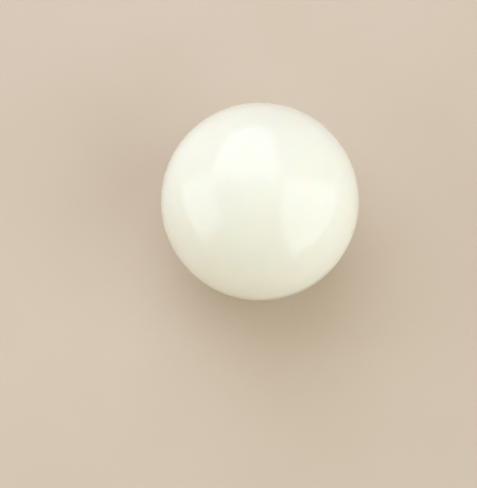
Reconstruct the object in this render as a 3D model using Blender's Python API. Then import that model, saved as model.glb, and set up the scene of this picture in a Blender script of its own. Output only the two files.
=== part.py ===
"""Cue ball: one ball cast in phenolic resin, then ground and polished all over.

A plain cue ball is a single solid. It has no shell, core, seam, dot or stripe, so
the whole object is one node, with its origin at the centre of the ball.
"""

import bpy

OBJECT_NAME = "cue_ball"

# Driving dimensions, in metres.
BALL_DIAMETER = 0.05715  # 2 1/4 in, the regulation pool ball
BALL_RADIUS = BALL_DIAMETER / 2

# Five subdivisions of an icosahedron hold the surface within 0.03 mm of the true
# sphere, well inside the 0.127 mm that the regulation diameter may be out.
SPHERE_SUBDIVISIONS = 5

# Cast phenolic resin: warm ivory all through, ground and polished to a gloss.
RESIN_COLOUR = (0.87, 0.86, 0.75, 1.0)
RESIN_ROUGHNESS = 0.12
RESIN_METALLIC = 0.0
RESIN_IOR = 1.55


def clear_scene():
    """Leave no object in the file but the ball."""
    for leftover in list(bpy.data.objects):
        bpy.data.objects.remove(leftover, do_unlink=True)


def new_collection(name):
    """A collection of this name, linked to the scene."""
    collection = bpy.data.collections.new(name)
    bpy.context.scene.collection.children.link(collection)
    return collection


def resin_material():
    """The polished ivory resin that the ball is cast from."""
    material = bpy.data.materials.new("ivory_phenolic_resin")
    material.use_nodes = True
    material.diffuse_color = RESIN_COLOUR
    shader = material.node_tree.nodes["Principled BSDF"]
    shader.inputs["Base Color"].default_value = RESIN_COLOUR
    shader.inputs["Roughness"].default_value = RESIN_ROUGHNESS
    shader.inputs["Metallic"].default_value = RESIN_METALLIC
    shader.inputs["IOR"].default_value = RESIN_IOR
    return material


def ball(collection):
    """The whole cue ball, a solid sphere about the origin."""
    bpy.ops.mesh.primitive_ico_sphere_add(subdivisions=SPHERE_SUBDIVISIONS, radius=BALL_RADIUS)
    sphere = bpy.context.object
    sphere.name = "ball"
    sphere.data.name = "ball"
    sphere.data.materials.append(resin_material())
    sphere.data.shade_smooth()
    for holder in list(sphere.users_collection):
        holder.objects.unlink(sphere)
    collection.objects.link(sphere)
    return sphere


def main():
    clear_scene()
    ball(new_collection(OBJECT_NAME))


main()
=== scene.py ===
"""Cue ball, resting on a pale studio floor under soft light.

The ball is one solid casting of ivory phenolic resin, ground and polished to a
gloss. Lengths are in metres, with the centre of the ball at the origin, and +Z up.
"""

from math import cos, pi, radians, sin

import bpy
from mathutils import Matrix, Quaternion, Vector


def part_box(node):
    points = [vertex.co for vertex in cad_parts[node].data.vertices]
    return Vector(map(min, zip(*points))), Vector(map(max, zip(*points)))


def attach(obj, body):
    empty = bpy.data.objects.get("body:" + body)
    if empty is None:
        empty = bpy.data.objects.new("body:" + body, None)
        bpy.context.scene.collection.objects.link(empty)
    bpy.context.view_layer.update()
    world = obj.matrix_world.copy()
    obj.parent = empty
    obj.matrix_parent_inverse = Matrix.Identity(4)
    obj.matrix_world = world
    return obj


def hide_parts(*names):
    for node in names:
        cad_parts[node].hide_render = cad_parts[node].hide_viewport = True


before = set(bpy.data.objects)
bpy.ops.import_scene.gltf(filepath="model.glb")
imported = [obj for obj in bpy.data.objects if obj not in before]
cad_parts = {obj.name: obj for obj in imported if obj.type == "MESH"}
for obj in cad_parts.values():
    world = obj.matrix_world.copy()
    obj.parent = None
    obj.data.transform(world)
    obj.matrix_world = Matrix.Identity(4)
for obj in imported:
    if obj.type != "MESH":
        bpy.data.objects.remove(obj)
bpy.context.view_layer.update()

# The ball's place and size, from the frame.
BALL_LOW, BALL_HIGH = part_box("ball")
BALL_CENTRE = (BALL_LOW + BALL_HIGH) / 2
BALL_RADIUS = (BALL_HIGH.z - BALL_LOW.z) / 2

# The ball's mesh: a cube whose faces are cut into even squares, pushed out to a sphere,
# divided more finely and then ground to the exact radius.
CAGE_CUTS = 9
SMOOTHING_LEVELS = 3

# Phenolic resin: warm ivory, with faint clouds and flecks a shade deeper, left by the
# pour, under a thin translucent skin. Red light scatters furthest in it.
IVORY = (0.882, 0.882, 0.780, 1.0)
CLOUDED_IVORY = (0.872, 0.870, 0.757, 1.0)
RESIN_IOR = 1.55
RESIN_GLOSS_LEVEL = 0.40
RESIN_SCATTER = (1.0, 0.78, 0.50)
RESIN_SCATTER_DEPTH = 0.0012
CLOUD_SIZE = 0.018
CLOUD_SOFTNESS = 0.3
FLECK_SIZE = 0.0028
FLECK_SHARE = 0.18

# The polish: a gloss, with a faint haze where it has been handled, a slight ripple left
# by the grinding, and hairlines left by the polishing wheel.
POLISH_ROUGHNESS = 0.09
HAZE_ROUGHNESS = 0.14
HAZE_SIZE = 0.013
HAZE_SOFTNESS = 0.2
HAIRLINE_WIDTH = 0.00035
HAIRLINE_STRETCH = 14.0
HAIRLINE_ROUGHNESS = 0.025
HAIRLINE_DEPTH = 0.0000003
RIPPLE_SIZE = 0.0035
RIPPLE_HEIGHT = 0.0000012

# How the surface effects are drawn. Noise lies around its middle, from 0 to 1, and Detail
# and Roughness say how many finer layers it has and how strong they are.
NOISE_MIDDLE = 0.5
MOTTLE_DETAIL = 2.0
MOTTLE_ROUGHNESS = 0.45
GRAIN_DETAIL = 3.0
GRAIN_ROUGHNESS = 0.5
GRAIN_LOWEST = 0.25
GRAIN_HIGHEST = 0.75
LINE_DETAIL = 1.0
LINE_ROUGHNESS = 0.4
LINE_EDGE = 0.62
LINE_MIDDLE = 0.78
LINE_TURNS = ((0.5, 0.2, 0.0), (1.3, -0.8, 0.0))

# The studio: a matt disc of a floor, a dim warm fill, and a backdrop in the floor's tone.
FLOOR_RADIUS = 0.40
FLOOR_CORNERS = 180
FLOOR_COLOUR = (0.62, 0.52, 0.41, 1.0)
FLOOR_SHADE = (0.60, 0.50, 0.39, 1.0)
FLOOR_SHADE_SIZE = 0.05
FLOOR_SHADE_SOFTNESS = 0.3
FLOOR_ROUGHNESS = 0.80
FLOOR_DULL_ROUGHNESS = 0.92
FLOOR_GLOSS_LEVEL = 0.20
FLOOR_GRAIN_SIZE = 0.0012
FLOOR_GRAIN_HEIGHT = 0.00002
ROOM_FILL = 0.48
ROOM_FILL_COLOUR = (1.0, 0.86, 0.53, 1.0)
BACKDROP_COLOUR = (0.70, 0.59, 0.47, 1.0)
BACKDROP_STRENGTH = 1.0

# Light panels. Each faces the given direction, and its fades are the shares of its width
# and of its height over which its light falls off to each edge.
SKY_WHITE = (0.67, 0.75, 1.0)
COOL_WHITE = (0.73, 0.83, 1.0)
WARM_WHITE = (1.0, 0.98, 0.88)
PANEL_MIDDLE = 0.5
LIGHT_PANELS = (
    {
        "name": "ceiling",
        "centre": (-0.29, 1.08, 0.60),
        "facing": (0, 0, -1),
        "width": 1.08,
        "height": 2.24,
        "fades": (0.05, 0.08),
        "tint": SKY_WHITE,
        "brightness": 1.78,
    },
    {
        "name": "left",
        "centre": (-0.60, -0.16, 0.17),
        "facing": (1, 0, 0),
        "width": 0.80,
        "height": 0.66,
        "fades": (0.20, 0.08),
        "tint": COOL_WHITE,
        "brightness": 1.87,
    },
    {
        "name": "right",
        "centre": (0.60, -0.50, 0.52),
        "facing": (-1, 0, 0),
        "width": 1.36,
        "height": 1.38,
        "fades": (0.08, 0.10),
        "tint": COOL_WHITE,
        "brightness": 1.68,
    },
    {
        "name": "low_right",
        "centre": (0.62, -0.62, 0.04),
        "facing": (-1, 0.6, 0),
        "width": 0.60,
        "height": 0.30,
        "fades": (0.25, 0.25),
        "tint": COOL_WHITE,
        "brightness": 0.62,
    },
    {
        "name": "low_front",
        "centre": (0.75, -0.95, 0.22),
        "facing": (-0.75, 0.95, 0),
        "width": 1.20,
        "height": 0.60,
        "fades": (0.20, 0.20),
        "tint": WARM_WHITE,
        "brightness": 0.24,
    },
    {
        "name": "overhead",
        "centre": (0, 0, 1.20),
        "facing": (0, 0, -1),
        "width": 1.60,
        "height": 1.60,
        "fades": (0.30, 0.30),
        "tint": COOL_WHITE,
        "brightness": 0.39,
    },
)

# The camera, with the ball right of and above the middle of its view.
LENS_MM = 100.0
SENSOR_MM = 36.0
CAMERA_DISTANCE = 0.3926
CAMERA_ELEVATION = radians(69.0)
AIM_LEFT_OF_BALL = radians(0.90)
AIM_BELOW_BALL = radians(1.79)


# Nodes and surface effects.


def add_node(tree, kind, place, **settings):
    """A new node of this kind, at this place in the node editor."""
    node = tree.nodes.new(kind)
    node.location = place
    for name, value in settings.items():
        setattr(node, name, value)
    return node


def set_inputs(node, **values):
    """Sets the node's sockets by name, with _ for each space in a name."""
    for name, value in values.items():
        node.inputs[name.replace("_", " ")].default_value = value


def new_effect(name, measures, output):
    """A node group that turns object coordinates and the named measures into one value."""
    tree = bpy.data.node_groups.new(name, "ShaderNodeTree")
    tree.interface.new_socket("Place", in_out="INPUT", socket_type="NodeSocketVector")
    for measure in measures:
        tree.interface.new_socket(measure, in_out="INPUT", socket_type="NodeSocketFloat")
    tree.interface.new_socket(output, in_out="OUTPUT", socket_type="NodeSocketFloat")
    start = add_node(tree, "NodeGroupInput", (-800, 0))
    end = add_node(tree, "NodeGroupOutput", (600, 0))
    return tree, start, end


def one_over(tree, value, place):
    """The value's reciprocal: a noise scale from a feature's size, for instance."""
    divide = add_node(tree, "ShaderNodeMath", place, operation="DIVIDE")
    divide.inputs[0].default_value = 1.0
    tree.links.new(value, divide.inputs[1])
    return divide.outputs[0]


def mottle_effect():
    """Soft patches of the given size, from 0 to 1. Softness is how slowly they change."""
    tree, start, end = new_effect("soft_mottle", ("Size", "Softness"), "Mask")
    scale = one_over(tree, start.outputs["Size"], (-600, -150))
    noise = add_node(tree, "ShaderNodeTexNoise", (-300, 0))
    set_inputs(noise, Detail=MOTTLE_DETAIL, Roughness=MOTTLE_ROUGHNESS)
    low = add_node(tree, "ShaderNodeMath", (-300, -300), operation="SUBTRACT")
    low.inputs[0].default_value = NOISE_MIDDLE
    high = add_node(tree, "ShaderNodeMath", (-300, -450), operation="ADD")
    high.inputs[0].default_value = NOISE_MIDDLE
    spread = add_node(tree, "ShaderNodeMapRange", (200, 0), interpolation_type="SMOOTHSTEP")
    tree.links.new(start.outputs["Place"], noise.inputs["Vector"])
    tree.links.new(scale, noise.inputs["Scale"])
    tree.links.new(start.outputs["Softness"], low.inputs[1])
    tree.links.new(start.outputs["Softness"], high.inputs[1])
    tree.links.new(noise.outputs["Fac"], spread.inputs["Value"])
    tree.links.new(low.outputs[0], spread.inputs["From Min"])
    tree.links.new(high.outputs[0], spread.inputs["From Max"])
    tree.links.new(spread.outputs["Result"], end.inputs["Mask"])
    return tree


def grain_effect():
    """A rolling, dimpled surface of the given size, as a height from -Depth to Depth."""
    tree, start, end = new_effect("fine_grain", ("Size", "Depth"), "Height")
    scale = one_over(tree, start.outputs["Size"], (-600, -150))
    noise = add_node(tree, "ShaderNodeTexNoise", (-300, 0))
    set_inputs(noise, Detail=GRAIN_DETAIL, Roughness=GRAIN_ROUGHNESS)
    centred = add_node(tree, "ShaderNodeMapRange", (0, 0))
    set_inputs(centred, From_Min=GRAIN_LOWEST, From_Max=GRAIN_HIGHEST, To_Min=-1.0, To_Max=1.0)
    deep = add_node(tree, "ShaderNodeMath", (300, 0), operation="MULTIPLY")
    tree.links.new(start.outputs["Place"], noise.inputs["Vector"])
    tree.links.new(scale, noise.inputs["Scale"])
    tree.links.new(noise.outputs["Fac"], centred.inputs["Value"])
    tree.links.new(centred.outputs["Result"], deep.inputs[0])
    tree.links.new(start.outputs["Depth"], deep.inputs[1])
    tree.links.new(deep.outputs[0], end.inputs["Height"])
    return tree


def hairline_effect():
    """Long thin polishing lines in two directions, from 0 between them to 1 along them."""
    tree, start, end = new_effect("polish_hairlines", ("Width", "Stretch"), "Mask")
    scale = one_over(tree, start.outputs["Width"], (-700, -200))
    squeeze = add_node(tree, "ShaderNodeCombineXYZ", (-350, -300))
    set_inputs(squeeze, X=1.0, Y=1.0)
    along = one_over(tree, start.outputs["Stretch"], (-500, -300))
    tree.links.new(along, squeeze.inputs["Z"])
    lines = []
    for row, turn in enumerate(LINE_TURNS):
        height = 300 - 500 * row
        turned = add_node(tree, "ShaderNodeMapping", (-500, height))
        set_inputs(turned, Rotation=turn)
        stretched = add_node(tree, "ShaderNodeVectorMath", (-250, height), operation="MULTIPLY")
        noise = add_node(tree, "ShaderNodeTexNoise", (-50, height))
        set_inputs(noise, Detail=LINE_DETAIL, Roughness=LINE_ROUGHNESS)
        thin = add_node(tree, "ShaderNodeMapRange", (150, height), interpolation_type="SMOOTHSTEP")
        set_inputs(thin, From_Min=LINE_EDGE, From_Max=LINE_MIDDLE, To_Min=0.0, To_Max=1.0)
        tree.links.new(start.outputs["Place"], turned.inputs["Vector"])
        tree.links.new(turned.outputs["Vector"], stretched.inputs[0])
        tree.links.new(squeeze.outputs["Vector"], stretched.inputs[1])
        tree.links.new(stretched.outputs["Vector"], noise.inputs["Vector"])
        tree.links.new(scale, noise.inputs["Scale"])
        tree.links.new(noise.outputs["Fac"], thin.inputs["Value"])
        lines.append(thin.outputs["Result"])
    either = add_node(tree, "ShaderNodeMath", (400, 0), operation="MAXIMUM")
    tree.links.new(lines[0], either.inputs[0])
    tree.links.new(lines[1], either.inputs[1])
    tree.links.new(either.outputs[0], end.inputs["Mask"])
    return tree


def use_effect(tree, effect, coordinates, place, **measures):
    """The effect's value in this material, at the given measures."""
    node = add_node(tree, "ShaderNodeGroup", place, node_tree=effect)
    set_inputs(node, **measures)
    tree.links.new(coordinates, node.inputs["Place"])
    return node.outputs[0]


def blend_values(tree, share, first, second, place):
    """The first value, with the given share of it given over to the second."""
    blend = add_node(tree, "ShaderNodeMapRange", place, clamp=False)
    blend.inputs["Value"].default_value = share
    tree.links.new(first, blend.inputs["To Min"])
    tree.links.new(second, blend.inputs["To Max"])
    return blend.outputs["Result"]


def blend_colours(tree, factor, first, second, place):
    """From the first colour, where the factor is 0, to the second, where it is 1."""
    ramp = add_node(tree, "ShaderNodeValToRGB", place)
    ramp.color_ramp.elements[0].color = first
    ramp.color_ramp.elements[1].color = second
    tree.links.new(factor, ramp.inputs["Fac"])
    return ramp.outputs["Color"]


def raise_surface(tree, shader, height, place):
    """Gives the shader the relief of this height, in metres."""
    relief = add_node(tree, "ShaderNodeBump", place)
    set_inputs(relief, Strength=1.0, Distance=1.0)
    tree.links.new(height, relief.inputs["Height"])
    tree.links.new(relief.outputs["Normal"], shader.inputs["Normal"])


# The ball.


def deselect():
    """Leaves nothing selected, so that an operator acts only on what is chosen next."""
    for item in bpy.context.selected_objects:
        item.select_set(False)


def apply_modifiers(piece):
    """Applies all the piece's modifiers, in their order."""
    deselect()
    piece.select_set(True)
    bpy.context.view_layer.objects.active = piece
    for modifier in list(piece.modifiers):
        bpy.ops.object.modifier_apply(modifier=modifier.name)


def model_ball():
    """The ball, with its faces spread evenly and no pole."""
    deselect()
    bpy.ops.mesh.primitive_cube_add(size=2 * BALL_RADIUS, location=BALL_CENTRE)
    piece = bpy.context.object
    piece.name = "polished_ball"
    piece.data.name = "polished_ball"
    bpy.ops.object.transform_apply(location=True, rotation=True, scale=True)
    bpy.ops.object.mode_set(mode="EDIT")
    bpy.ops.mesh.select_all(action="SELECT")
    bpy.ops.mesh.subdivide(number_cuts=CAGE_CUTS)
    bpy.ops.transform.tosphere(value=1.0)
    bpy.ops.object.mode_set(mode="OBJECT")
    smoothing = piece.modifiers.new("even_out", "SUBSURF")
    smoothing.levels = SMOOTHING_LEVELS
    smoothing.render_levels = SMOOTHING_LEVELS
    rounding = piece.modifiers.new("grind_round", "CAST")
    rounding.cast_type = "SPHERE"
    rounding.factor = 1.0
    rounding.use_radius_as_size = False
    rounding.size = BALL_RADIUS
    apply_modifiers(piece)
    bpy.ops.object.shade_smooth()
    return piece


def resin_material(mottle, grain, hairlines):
    """Ivory phenolic resin, clouded, polished, and a little hazed and scored."""
    material = bpy.data.materials.new("ivory_resin")
    material.use_nodes = True
    tree = material.node_tree
    shader = tree.nodes["Principled BSDF"]
    set_inputs(
        shader,
        IOR=RESIN_IOR,
        Specular_IOR_Level=RESIN_GLOSS_LEVEL,
        Subsurface_Weight=1.0,
        Subsurface_Radius=RESIN_SCATTER,
        Subsurface_Scale=RESIN_SCATTER_DEPTH,
    )
    place = add_node(tree, "ShaderNodeTexCoord", (-1600, 0)).outputs["Object"]

    clouds = use_effect(
        tree, mottle, place, (-1300, 500), Size=CLOUD_SIZE, Softness=CLOUD_SOFTNESS
    )
    flecks = use_effect(
        tree, mottle, place, (-1300, 300), Size=FLECK_SIZE, Softness=CLOUD_SOFTNESS
    )
    depth = blend_values(tree, FLECK_SHARE, clouds, flecks, (-1000, 400))
    colour = blend_colours(tree, depth, IVORY, CLOUDED_IVORY, (-700, 400))
    tree.links.new(colour, shader.inputs["Base Color"])

    haze = use_effect(tree, mottle, place, (-1300, 50), Size=HAZE_SIZE, Softness=HAZE_SOFTNESS)
    lines = use_effect(
        tree, hairlines, place, (-1300, -200), Width=HAIRLINE_WIDTH, Stretch=HAIRLINE_STRETCH
    )
    polish = add_node(tree, "ShaderNodeMapRange", (-1000, 50))
    set_inputs(polish, To_Min=POLISH_ROUGHNESS, To_Max=HAZE_ROUGHNESS)
    scuffed = add_node(tree, "ShaderNodeMath", (-700, 50), operation="MULTIPLY_ADD")
    scuffed.inputs[1].default_value = HAIRLINE_ROUGHNESS
    tree.links.new(haze, polish.inputs["Value"])
    tree.links.new(lines, scuffed.inputs[0])
    tree.links.new(polish.outputs["Result"], scuffed.inputs[2])
    tree.links.new(scuffed.outputs[0], shader.inputs["Roughness"])

    ripple = use_effect(
        tree, grain, place, (-1300, -450), Size=RIPPLE_SIZE, Depth=RIPPLE_HEIGHT
    )
    scored = add_node(tree, "ShaderNodeMath", (-700, -300), operation="MULTIPLY_ADD")
    scored.inputs[1].default_value = -HAIRLINE_DEPTH
    tree.links.new(lines, scored.inputs[0])
    tree.links.new(ripple, scored.inputs[2])
    raise_surface(tree, shader, scored.outputs[0], (-400, -300))
    return material


# The studio.


def floor_material(mottle, grain):
    """A matt pale floor, with a fine grain and faint soft shading."""
    material = bpy.data.materials.new("pale_floor")
    material.use_nodes = True
    tree = material.node_tree
    shader = tree.nodes["Principled BSDF"]
    set_inputs(shader, Specular_IOR_Level=FLOOR_GLOSS_LEVEL)
    place = add_node(tree, "ShaderNodeTexCoord", (-1300, 0)).outputs["Object"]

    shade = use_effect(
        tree, mottle, place, (-1000, 200), Size=FLOOR_SHADE_SIZE, Softness=FLOOR_SHADE_SOFTNESS
    )
    colour = blend_colours(tree, shade, FLOOR_COLOUR, FLOOR_SHADE, (-700, 300))
    dull = add_node(tree, "ShaderNodeMapRange", (-700, 0))
    set_inputs(dull, To_Min=FLOOR_ROUGHNESS, To_Max=FLOOR_DULL_ROUGHNESS)
    tree.links.new(shade, dull.inputs["Value"])
    tree.links.new(colour, shader.inputs["Base Color"])
    tree.links.new(dull.outputs["Result"], shader.inputs["Roughness"])

    texture = use_effect(
        tree, grain, place, (-1000, -200), Size=FLOOR_GRAIN_SIZE, Depth=FLOOR_GRAIN_HEIGHT
    )
    raise_surface(tree, shader, texture, (-400, -200))
    return material


def lay_floor(material):
    """A round floor, under the lowest point of the ball."""
    deselect()
    bpy.ops.mesh.primitive_circle_add(
        vertices=FLOOR_CORNERS,
        radius=FLOOR_RADIUS,
        fill_type="NGON",
        location=(0, 0, BALL_LOW.z),
    )
    floor = bpy.context.object
    floor.name = "studio_floor"
    floor.data.materials.append(material)


def fade_panel(lamp, fades):
    """Fades a panel's light towards its four edges, as a diffuser cloth does."""
    lamp.use_nodes = True
    tree = lamp.node_tree
    glow = tree.nodes["Emission"]
    surface = add_node(tree, "ShaderNodeNewGeometry", (-1000, 0))
    sides = add_node(tree, "ShaderNodeSeparateXYZ", (-800, 0))
    both = add_node(tree, "ShaderNodeMath", (-200, 0), operation="MULTIPLY")
    tree.links.new(surface.outputs["Parametric"], sides.inputs["Vector"])
    for slot, (side, share) in enumerate(zip("XY", fades)):
        row = -200 * slot
        middle = add_node(tree, "ShaderNodeMath", (-600, row), operation="SUBTRACT")
        middle.inputs[1].default_value = PANEL_MIDDLE
        off = add_node(tree, "ShaderNodeMath", (-500, row), operation="ABSOLUTE")
        fade = add_node(tree, "ShaderNodeMapRange", (-400, row), interpolation_type="SMOOTHSTEP")
        set_inputs(fade, From_Min=PANEL_MIDDLE, From_Max=PANEL_MIDDLE - share)
        tree.links.new(sides.outputs[side], middle.inputs[0])
        tree.links.new(middle.outputs[0], off.inputs[0])
        tree.links.new(off.outputs[0], fade.inputs["Value"])
        tree.links.new(fade.outputs["Result"], both.inputs[slot])
    tree.links.new(both.outputs[0], glow.inputs["Strength"])


def hang_panel(name, centre, facing, width, height, fades, tint, brightness):
    """A soft light panel, which the camera doesn't see directly."""
    lamp = bpy.data.lights.new("panel_" + name, "AREA")
    lamp.shape = "RECTANGLE"
    lamp.size = width
    lamp.size_y = height
    lamp.energy = brightness * pi * width * height
    lamp.color = tint
    fade_panel(lamp, fades)
    panel = bpy.data.objects.new("panel_" + name, lamp)
    panel.location = centre
    panel.rotation_mode = "QUATERNION"
    panel.rotation_quaternion = Vector(facing).to_track_quat("-Z", "Y")
    panel.visible_camera = False
    bpy.context.scene.collection.objects.link(panel)


def fill_room():
    """A dim warm fill from all round, behind a pale backdrop."""
    world = bpy.data.worlds.new("studio")
    world.use_nodes = True
    tree = world.node_tree
    fill = tree.nodes["Background"]
    set_inputs(fill, Color=ROOM_FILL_COLOUR, Strength=ROOM_FILL)
    backdrop = add_node(tree, "ShaderNodeBackground", (0, -200))
    set_inputs(backdrop, Color=BACKDROP_COLOUR, Strength=BACKDROP_STRENGTH)
    rays = add_node(tree, "ShaderNodeLightPath", (0, 400))
    choose = add_node(tree, "ShaderNodeMixShader", (300, 0))
    tree.links.new(rays.outputs["Is Camera Ray"], choose.inputs["Fac"])
    tree.links.new(fill.outputs["Background"], choose.inputs[1])
    tree.links.new(backdrop.outputs["Background"], choose.inputs[2])
    tree.links.new(choose.outputs["Shader"], tree.nodes["World Output"].inputs["Surface"])
    bpy.context.scene.world = world


def set_camera():
    """The camera, high in front of the ball and looking a little left of and below it."""
    lens = bpy.data.cameras.new("camera")
    lens.lens = LENS_MM
    lens.sensor_width = SENSOR_MM
    camera = bpy.data.objects.new("camera", lens)
    away = Vector((0, -cos(CAMERA_ELEVATION), sin(CAMERA_ELEVATION)))
    camera.location = BALL_CENTRE + away * CAMERA_DISTANCE
    turn = Quaternion((0, 1, 0), AIM_LEFT_OF_BALL) @ Quaternion((1, 0, 0), -AIM_BELOW_BALL)
    camera.rotation_mode = "QUATERNION"
    camera.rotation_quaternion = (-away).to_track_quat("-Z", "Y") @ turn
    bpy.context.scene.collection.objects.link(camera)
    bpy.context.scene.camera = camera


set_camera()
fill_room()
for panel_details in LIGHT_PANELS:
    hang_panel(**panel_details)

mottle = mottle_effect()
grain = grain_effect()
lay_floor(floor_material(mottle, grain))

ball = model_ball()
ball.data.materials.append(resin_material(mottle, grain, hairline_effect()))
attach(ball, "root")
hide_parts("ball")

bpy.context.scene.view_settings.view_transform = "Standard"
